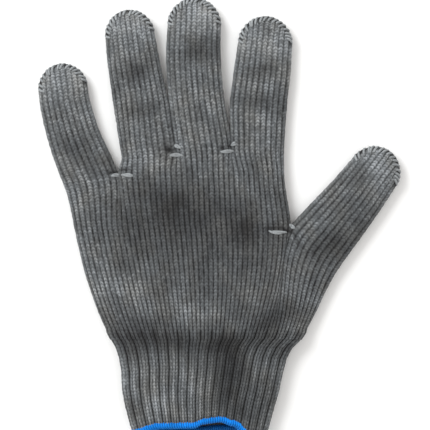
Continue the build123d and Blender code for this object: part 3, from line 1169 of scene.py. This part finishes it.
SEAM_SEED = 11  # times the letters of the finger's name
FEWEST_LOOPS = 7
LOOP_STEPS = 17
LOOP_SLANT = radians(9)
LOOP_STRAY = 0.04  # radians by which a loop is out of its place
SLANT_STRAY = 0.06
LOOP_REACHES = (0.75, 1.25)  # shortest and longest, as shares of the reach
LOOP_EDGES = (0.5, 1.3)  # least and most that loops stand out, as shares
LOOP_CURVE = 1.6
LOOP_LIFT = 0.75 * MM  # how far over the cloth a loop's middle line is
LOOP_WRAP = 4  # how soon a loop comes round the edge to its full height


def make_tip_seam(finger, stall):
    """Loops of yarn over the edge of a fingertip."""
    ties = bpy.context.scene.glove_ties
    count = max(FEWEST_LOOPS, round(pi * stall.radius / ties.pitch))
    centre = stall.cap.middle
    ahead, side = stall.heading, np.array((stall.heading[1], -stall.heading[0]))
    random = np.random.default_rng(len(finger) * SEAM_SEED)
    paths = []
    wrap = np.linspace(-1, 1, LOOP_STEPS)
    for k in range(count):
        angle = pi * (k + 0.5) / count + random.uniform(-LOOP_STRAY, LOOP_STRAY)
        slant = LOOP_SLANT + random.uniform(-SLANT_STRAY, SLANT_STRAY)
        reach = ties.reach * random.uniform(*LOOP_REACHES)
        r = stall.radius + ties.edge * random.uniform(*LOOP_EDGES) - reach * np.abs(wrap) ** LOOP_CURVE
        turn = angle + slant * wrap
        x, y = r * np.cos(turn), r * np.sin(turn)
        plan = centre + x[:, None] * side + y[:, None] * ahead
        height = (tip_height(stall, x, y) + LOOP_LIFT) * np.clip(np.abs(wrap) * LOOP_WRAP, 0, 1)
        paths.append(placed(plan, stall.level + np.sign(wrap) * height))
    piece = thread_object(f"{finger.capitalize()}TipSeam", paths, ties.thread, material("SeamYarn"))
    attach(piece, f"{finger}_distal")
    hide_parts(f"{finger}_fingertip_seam")


# ---- operators ------------------------------------------------------------------------------------
PALM_CUT = 0.5  # where the palm's lower part divides, as a share of its length
RIB_END = (-2 * MM, MM)  # where the ribs begin to fade and are gone, from the cuff's rib_start
# Parts of the palm above the thumb: first and last edge, wales, what divides the forks' fade, node.
UPPER_PARTS = {
    "UpperPalm": ("thumb height, four", "little height", FOUR_FINGER_WALES, 2, "four_finger_palm"),
    "FingerRoots": ("little height, three", "fingers", THREE_FINGER_WALES, 3, "three_finger_palm"),
}


class GLOVE_OT_palm(bpy.types.Operator):
    """Knit the palm and back of the hand, from the wrist line to the fingers"""

    bl_idname = "glove.palm"
    bl_label = "Palm"

    def execute(self, context):
        edges = hand_edges()
        fade = context.scene.glove_hand.fork_fade
        cuff = context.scene.glove_cuff
        lower, top = body_skin(edges["wrist"], edges["thumb height"], HAND_WALES, 0, fade)
        rows = lower.outside.shape[0] - 1
        above = lower.outside[..., 1] - wrist_middle()[1]
        ribbed = 1 - smooth_step(*(cuff.rib_start + end for end in RIB_END), above)
        rib = rib_height(lower.wale, cuff.rib_wales)
        extra = rib * cuff.rib_relief * ribbed
        # painted shade in the grooves between the ribs, fading out with them
        rib_groove_shading = (rib - 1) * cuff.rib_painted_shade * ribbed
        middle = round(rows * PALM_CUT)
        pieces = [
            ("LowerPalm", lower, (0, middle), "five_finger_palm", extra, rib_groove_shading),
            ("MiddlePalm", lower, (middle, rows), "five_finger_palm", extra, rib_groove_shading),
        ]
        for name, (start, end, wales, parts, node) in UPPER_PARTS.items():
            skin, top = body_skin(edges[start], edges[end], wales, top, fade / parts)
            pieces.append((name, skin, (0, skin.outside.shape[0] - 1), node, None, None))
        for name, skin, rows, node, extra, rib_groove_shading in pieces:
            tone = cloth_tone(skin, GROOVE_PAINTED_SHADE, rib_groove_shading)
            piece = tube_object(name, skin, knitted(skin, extra), tone, rows, material("MarlKnit"))
            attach(piece, "palm")
            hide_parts(node)
        return {"FINISHED"}


class GLOVE_OT_stalls(bpy.types.Operator):
    """Knit the four finger stalls and the thumb"""

    bl_idname = "glove.stalls"
    bl_label = "Finger stalls"

    def execute(self, context):
        for finger in WALES:
            make_stall(finger)
        return {"FINISHED"}


# The front of the hem rises and falls: share of the width from the little-finger side, distance below
# the wrist line. FRONT_ROLL has the same shares, and how far the cloth there rolls up, in ROLLs.
FRONT_HEM = (
    (0.0, 49.2 * MM),
    (0.2, 45.5 * MM),
    (0.43, 45.2 * MM),
    (0.5, 43.2 * MM),
    (0.63, 42.2 * MM),
    (0.73, 44.2 * MM),
    (0.85, 49.8 * MM),
    (1.0, 51.0 * MM),
)
FRONT_ROLL = ((0.0, 0.0), (0.25, 1.0), (0.44, 1.3), (0.56, -1.3), (0.7, -0.6), (0.85, 0.7), (1.0, 0.0))
ROLL = 1.0 * MM
BACK_WAVE = 0.8 * MM  # how far the back of the hem rises and falls
FOLD_SHARE = 0.06  # share of the width over which the front's hem turns into the back's
CUFF_SETTLING = 4  # the cuff has its own thickness after one part in this many of its length
CUFF_SIDES = (
    # distance below the wrist line, left side, right side, from the middle of the wrist
    (0.0, -48.0 * MM, 48.0 * MM),
    (4.0 * MM, -45.6 * MM, 43.6 * MM),
    (9.0 * MM, -43.9 * MM, 40.6 * MM),
    (16.0 * MM, -42.6 * MM, 38.6 * MM),
    (25.0 * MM, -42.2 * MM, 36.6 * MM),
    (33.0 * MM, -40.7 * MM, 34.0 * MM),
    (42.0 * MM, -38.2 * MM, 31.4 * MM),
    (49.5 * MM, -36.2 * MM, 29.2 * MM),
)


def eased(at, stops):
    """Smooth steps between (place, value) stops."""
    places = np.array([stop[0] for stop in stops])
    values = np.array([stop[1] for stop in stops])
    i = np.clip(np.searchsorted(places, at, side="right") - 1, 0, len(places) - 2)
    t = np.clip((at - places[i]) / (places[i + 1] - places[i]), 0, 1)
    t = t * t * (3 - 2 * t)
    return values[i] * (1 - t) + values[i + 1] * t


RIB_LIFT = 0.4 * MM  # the pressed ribs hold the cuff this much higher than the palm
CUFF_CUT = 0.6  # where the cuff divides, as a share of the way from the hem to the wrist


def cuff_skin():
    """The ribbed cuff, from the wrist line to its wavy hem."""
    knit = bpy.context.scene.glove_knit
    hand = bpy.context.scene.glove_hand
    cuff = bpy.context.scene.glove_cuff
    ring = ring_of(HAND_WALES)
    share = ring.wales / HAND_WALES[1]
    crowded = share + cuff.crowding * share * (1 - share)
    low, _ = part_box("cuff_hem_binding")
    wrist = wrist_middle()
    full = wrist[1] - low[1]
    rows = round(full / (knit.course / knit.rows)) + 1
    t = np.linspace(0, 1, rows)
    front = eased(share, FRONT_HEM)
    back = full + cuff.back_drop + BACK_WAVE * np.sin(share * 2 * pi)
    fold_ease = np.clip(np.minimum(share, 1 - share) / FOLD_SHARE, 0, 1)
    hem = np.where(ring.face > 0, front, front * (1 - fold_ease) + back * fold_ease)
    places, lefts, rights = (np.array(column) for column in zip(*CUFF_SIDES))
    outside, inside = np.empty((2, rows, len(share), 3))
    for i in range(rows):
        left = np.interp(t[i] * full, places, lefts)
        right = np.interp(t[i] * full, places, rights)
        a = (right - left) / 2
        settled = min(1, t[i] * CUFF_SETTLING)
        b = hand.palm_half_height + (cuff.half_height - hand.palm_half_height) * settled
        xi, rise = tube_profile(a, b, crowded)
        roll = eased(share, FRONT_ROLL) * ROLL * t[i] ** 2
        level = b + CLOTH_ON_TABLE + RIB_LIFT * settled
        lift = np.where(ring.face > 0, roll, 0)
        for skin, inwards in ((outside, 0), (inside, knit.wall)):
            x = wrist[0] + (left + right) / 2 + xi * (a - inwards)
            z = level + ring.face * rise * (b - inwards) + lift
            skin[i] = np.stack((x, wrist[1] - t[i] * hem, z), 1)
    course = -np.broadcast_to((t * full / knit.course)[:, None], outside.shape[:2])
    wale = np.broadcast_to(ring.knit, outside.shape[:2])
    flipped = [array[::-1] for array in (outside, inside, wale, course)]
    return Skin(*flipped, ring, False)


RELIEF_START = 5 * MM  # how far from the hem the ribs have their full relief
CUFF_GROOVE_PAINTED_SHADE = 0.7  # share of the palm's painted shade in the grooves


class GLOVE_OT_cuff(bpy.types.Operator):
    """Knit the ribbed cuff"""

    bl_idname = "glove.cuff"
    bl_label = "Ribbed cuff"

    def execute(self, context):
        cuff = context.scene.glove_cuff
        skin = cuff_skin()
        rows = skin.outside.shape[0] - 1
        free = smooth_step(0, RELIEF_START, np.linalg.norm(skin.outside - skin.outside[:1], axis=-1))
        rib = rib_height(skin.wale, cuff.rib_wales)
        extra = rib * cuff.rib_relief * free
        # painted shade in the grooves between the wales and between the ribs
        tone = cloth_tone(skin, GROOVE_PAINTED_SHADE * CUFF_GROOVE_PAINTED_SHADE, (rib - 1) * cuff.rib_painted_shade)
        outer = knitted(skin, extra)
        cut = round(rows * CUFF_CUT)
        lower = tube_object("RibbedCuff", skin, outer, tone, (0, cut), material("MarlRib"))
        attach(lower, "cuff")
        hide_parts("cuff_rib", "cuff_elastic_threads")
        upper = tube_object("WristBand", skin, outer, tone, (cut, rows), material("MarlRib"))
        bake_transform(upper)
        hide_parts("wrist_band")
        return {"FINISHED"}


BACK_HEM_PAINTED_SHADE = 0.42  # painted shade: how light the thread is on the back of the hem, which lies in the cuff's shadow
UNDER_HEM_PAINTED_SHADE = 0.32  # painted shade: how much darker the thread is where it turns under, low on the hem
UNDER_HEM = (0.2, 0.9)  # where on a turn of the thread that shade begins, and is full
HEM_ROWS = 6  # mesh rows from the edge that show which way the cloth goes
TURN_STEPS = 14
HEM_INWARDS = 0.75  # how far in from the edge the thread's middle lies, in halves of its reach
HEM_SIDES = 6
HEM_GAP = 0.05 * MM  # least gap between the thread and the table


class GLOVE_OT_hem(bpy.types.Operator):
    """Overlock the hem of the cuff"""

    bl_idname = "glove.hem"
    bl_label = "Hem binding"

    def execute(self, context):
        hem = context.scene.glove_hem
        skin = cuff_skin()
        edge = (skin.outside[0] + skin.inside[0]) / 2
        upper = (skin.outside[HEM_ROWS] + skin.inside[HEM_ROWS]) / 2
        loop = np.concatenate((edge, edge[:1]))
        steps = np.linalg.norm(np.diff(loop, axis=0), axis=1)
        length = np.concatenate(([0], np.cumsum(steps)))
        turns = round(length[-1] / hem.pitch)
        at = np.linspace(0, 1, turns * TURN_STEPS + 1)
        angle = at * turns * 2 * pi
        place = at * length[-1]

        def along_hem(values):
            closed = np.concatenate((values, values[:1]))
            return np.stack([np.interp(place, length, closed[:, i]) for i in range(3)], 1)

        up, out = along_hem(upper - edge), along_hem(skin.outside[0] - skin.inside[0])
        for way in (up, out):
            way /= np.maximum(np.linalg.norm(way, axis=1, keepdims=True), LEAST_LENGTH)
        half = hem.reach / 2
        path = along_hem(edge) + up * (half * HEM_INWARDS + half * np.cos(angle))[:, None]
        path += out * (hem.depth * np.sin(angle))[:, None]
        path[:, 2] = np.maximum(path[:, 2], hem.thread + HEM_GAP)
        facing = np.interp(place, length, np.append(skin.ring.face, 1))
        # painted shade on the back of the hem and where the thread turns under
        tone = BACK_HEM_PAINTED_SHADE + (1 - BACK_HEM_PAINTED_SHADE) * smooth_step(-1, 1, facing)
        tone *= 1 - UNDER_HEM_PAINTED_SHADE * smooth_step(*UNDER_HEM, -np.cos(angle))
        piece = thread_object("HemBinding", [path], hem.thread, material("HemThread"), HEM_SIDES, [tone])
        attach(piece, "cuff")
        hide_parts("cuff_hem_binding")
        return {"FINISHED"}


# Stitches that tie the crotches: node, crotch, and each stitch's offset, length (mm) and turn (degrees).
CROTCH_STITCHES = (
    ("little_ring_crotch_tie", 0, ((-1.6, -0.3, 4.6, 8), (4.4, -0.4, 6.2, -5))),
    ("ring_long_crotch_tie", 1, ((0.6, 2.4, 4.0, -25), (0.0, -2.2, 7.2, -2))),
    ("long_index_crotch_tie", 2, ((0.8, 2.4, 2.6, 40), (-2.2, -1.6, 7.0, 2))),
    ("thumb_crotch_tie", 3, ((-6.4, -2.6, 8.6, -4), (1.0, 0.1, 3.6, -36))),
)


BOW = 0.9  # most that a stitch bows to one side, in radii of a strand
PLY_TURN = 1.9  # radians the strands turn from the middle to an end
PLY_STRAY = 0.3  # radians
PLY_SHIFT = 0.06  # most that a strand slips along, as a share of its length
PLY_SPREAD = 0.75  # distance of a strand from the middle line, in radii
PLY_FLATNESS = 0.5


def plied(paths, radius, random):
    """Two strands twisted together along each path, which bows a little to one side."""
    both = []
    up = np.array((0.0, 0.0, 1.0))
    for path in paths:
        way = path[-1] - path[0]
        side = np.array((-way[1], way[0], 0)) / np.linalg.norm(way[:2])
        along = np.linspace(-1, 1, len(path))[:, None]
        bow = side * (1 - along**2) * random.uniform(-BOW, BOW) * radius
        for half in (0, pi):
            turn = PLY_TURN * along + half + random.uniform(-PLY_STRAY, PLY_STRAY)
            shift = way * random.uniform(-PLY_SHIFT, PLY_SHIFT)
            off = (side * np.cos(turn) + up * np.sin(turn) * PLY_FLATNESS) * radius * PLY_SPREAD
            both.append(path + shift + bow + off)
    return both


TIED = (
    "LowerPalm",
    "MiddlePalm",
    "UpperPalm",
    "FingerRoots",
    "LittleStall_proximal",
    "RingStall_proximal",
    "LongStall_proximal",
    "IndexStall_proximal",
    "ThumbStall_proximal",
)
HAND_TOP = 0.05  # a height well clear of the glove
PULL_IN = 0.9  # how deep a tie's ends sink, in radii of its strand
SIT = 0.35  # how high a tie sits on the cloth, in radii
TIE_STEPS = 13
TIE_BLUR = 0.5  # how far along a tie the cloth's height is evened, in halves of its length


def cloth_height(plan, face):
    """Height of the glove's outside over or under each place, taken between places where there is none."""
    pieces = [bpy.data.objects[name] for name in TIED]
    heights = []
    for x, y in plan:
        hits = []
        for piece in pieces:
            hit, at, _, _ = piece.ray_cast((x, y, face * HAND_TOP), (0, 0, -face))
            if hit:
                hits.append(at.z)
        heights.append(max(hits) if face > 0 and hits else min(hits, default=np.nan))
    heights = np.array(heights)
    known = ~np.isnan(heights)
    return np.interp(np.arange(len(heights)), np.flatnonzero(known), heights[known])


class GLOVE_OT_ties(bpy.types.Operator):
    """Tie the crotches between the fingers with a few overlapping stitches"""

    bl_idname = "glove.ties"
    bl_label = "Crotch ties"

    def execute(self, context):
        ties = context.scene.glove_ties
        context.view_layer.update()
        fork = forks()
        arch = np.linspace(-1, 1, TIE_STEPS)
        for node, number, stitches in CROTCH_STITCHES:
            paths = []
            for dx, dy, length, turn in stitches:
                way = np.array((cos(radians(turn)), sin(radians(turn))))
                middle = fork[number] + np.array((dx, dy)) * MM
                plan = middle + arch[:, None] * way * (length * MM / 2)
                for face in (1, -1):
                    cloth = blurred(arch, cloth_height(plan, face), TIE_BLUR)
                    sit = ties.strand * (SIT - (SIT + PULL_IN) * arch**4)
                    height = np.maximum(cloth + face * sit, ties.strand + TABLE_GAP)
                    paths.append(placed(plan, height))
            name = node.title().replace("_", "")
            strands = plied(paths, ties.strand, np.random.default_rng(number))
            for strand in strands:
                strand[:, 2] = np.maximum(strand[:, 2], ties.strand + TABLE_GAP)
            piece = thread_object(name, strands, ties.strand, material("SeamYarn"))
            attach(piece, "palm")
            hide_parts(node)
        return {"FINISHED"}


TABLE_DROP = 0.02 * MM  # how far the table is below the frame's ground
TABLE_GRAIN = 400.0
TABLE_TONE = (0.9, 0.01)  # least tone, and what the grain adds
ROOM_COLOUR = (1.0, 0.985, 0.965, 1)
LAMP_COLOUR = (0.97, 0.99, 1.0)
LAMP_SIZE = 0.7
LAMP_PLACE = (-0.75, 0.75, 1.0)
SENSOR_WIDTH = 36
GLOVE_HEIGHT = 8 * MM  # the height at which the view is as wide as view_width


class GLOVE_OT_stage(bpy.types.Operator):
    """Set up the pale table, the soft light and the camera"""

    bl_idname = "glove.stage"
    bl_label = "Stage"

    def execute(self, context):
        scene = context.scene
        stage = scene.glove_stage
        scene.view_settings.view_transform = "Standard"
        bpy.ops.mesh.primitive_plane_add(size=stage.table_size, location=(0, 0, -TABLE_DROP))
        table = context.object
        table.name = "Table"
        n = Nodes("PaleTable")
        grain = n.noise(n.add("ShaderNodeTexCoord").outputs["Object"], TABLE_GRAIN, 3.0)
        least, grain_share = TABLE_TONE
        tone = n.math("MULTIPLY_ADD", grain, grain_share)
        tone.node.inputs[2].default_value = least
        n.feed(n.shader.inputs["Base Color"], tone)
        n.shader.inputs["Roughness"].default_value = 0.7
        table.data.materials.append(n.material)

        world = bpy.data.worlds.new("SoftRoom")
        world.use_nodes = True
        background = world.node_tree.nodes["Background"]
        background.inputs["Color"].default_value = ROOM_COLOUR
        background.inputs["Strength"].default_value = stage.room_light
        scene.world = world

        lamp = bpy.data.lights.new("WindowLight", "AREA")
        lamp.energy = stage.lamp_power
        lamp.size = LAMP_SIZE
        lamp.color = LAMP_COLOUR
        light = bpy.data.objects.new("WindowLight", lamp)
        light.location = LAMP_PLACE
        light.rotation_euler = (-light.location).to_track_quat("-Z", "Y").to_euler()
        scene.collection.objects.link(light)

        camera = bpy.data.cameras.new("Camera")
        camera.sensor_width = SENSOR_WIDTH
        camera.lens = camera.sensor_width * stage.camera_height / stage.view_width
        eye = bpy.data.objects.new("Camera", camera)
        eye.location = (*stage.view_centre, stage.camera_height + GLOVE_HEIGHT)
        scene.collection.objects.link(eye)
        scene.camera = eye
        return {"FINISHED"}


# ---- panel and registration -----------------------------------------------------------------------
GROUPS = {
    "glove_knit": KnitSettings,
    "glove_hand": HandSettings,
    "glove_cuff": CuffSettings,
    "glove_hem": HemSettings,
    "glove_ties": TieSettings,
    "glove_colours": ColourSettings,
    "glove_stage": StageSettings,
}
OPERATORS = (
    GLOVE_OT_stage,
    GLOVE_OT_palm,
    GLOVE_OT_stalls,
    GLOVE_OT_cuff,
    GLOVE_OT_hem,
    GLOVE_OT_ties,
)


class GLOVE_PT_panel(bpy.types.Panel):
    """The glove's steps and settings"""

    bl_label = "Knitted glove"
    bl_idname = "GLOVE_PT_panel"
    bl_space_type = "VIEW_3D"
    bl_region_type = "UI"
    bl_category = "Glove"

    def draw(self, context):
        for operator in OPERATORS:
            self.layout.operator(operator.bl_idname)
        for group in GROUPS:
            box = self.layout.box()
            for name in GROUPS[group].__annotations__:
                box.prop(getattr(context.scene, group), name)


def register():
    for group in (*GROUPS.values(), *OPERATORS, GLOVE_PT_panel):
        bpy.utils.register_class(group)
    for name, group in GROUPS.items():
        setattr(bpy.types.Scene, name, PointerProperty(type=group))


def unregister():
    for name in GROUPS:
        delattr(bpy.types.Scene, name)
    for group in (GLOVE_PT_panel, *reversed(OPERATORS), *GROUPS.values()):
        bpy.utils.unregister_class(group)


def main():
    register()
    bpy.ops.glove.stage()
    bpy.ops.glove.palm()
    bpy.ops.glove.stalls()
    bpy.ops.glove.cuff()
    bpy.ops.glove.hem()
    bpy.ops.glove.ties()


if __name__ == "__main__":
    main()
